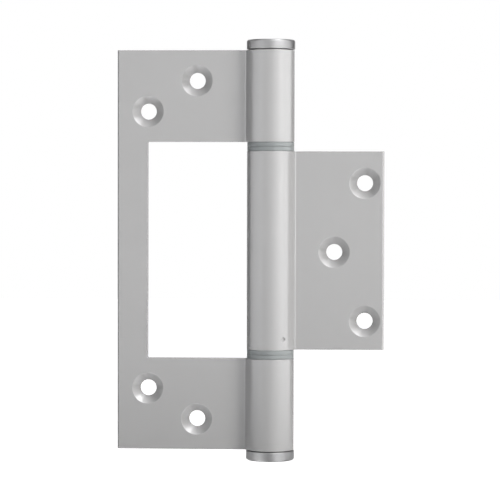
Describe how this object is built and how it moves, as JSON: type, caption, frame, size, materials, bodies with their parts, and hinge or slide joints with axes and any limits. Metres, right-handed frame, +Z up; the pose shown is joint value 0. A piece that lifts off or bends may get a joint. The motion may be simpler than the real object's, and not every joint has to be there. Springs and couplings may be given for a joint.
{
  "type": "door hinge",
  "caption": "Surface-fixed door hinge of extruded aluminium, opened flat: a large leaf with a window, a small leaf that closes into it, nylon bushes and capped pin.",
  "frame": {"origin": "on the back face of the large leaf, in the middle of its spine and at half its height", "axes": "+X from the large leaf to the small leaf when opened flat, +Y out of the back faces of both leaves, +Z up along the pin. The pin's axis is at x 34.6 mm, y -1.25 mm."},
  "size_m": [0.0668, 0.0121, 0.1054],
  "materials": {
    "leaf_aluminium": "fine satin anodised, natural silver",
    "cap_metal": "nickel plated, satin turned",
    "pin_steel": "ground stainless steel",
    "bush_nylon": "moulded grey nylon"
  },
  "bodies": {
    "frame_side": {"frame_leaf": "leaf_aluminium", "hinge_pin": "pin_steel", "top_cap": "cap_metal", "bottom_cap": "cap_metal", "upper_frame_bush": "bush_nylon", "lower_frame_bush": "bush_nylon"},
    "sash_side": {"sash_leaf": "leaf_aluminium", "upper_sash_bush": "bush_nylon", "lower_sash_bush": "bush_nylon"}
  },
  "joints": [
    {"name": "leaf_swing", "type": "hinge", "parent": "frame_side", "child": "sash_side", "pos_m": [0.0346, -0.00125, 0], "axis": [0, 0, 1], "continuous": true}
  ]
}
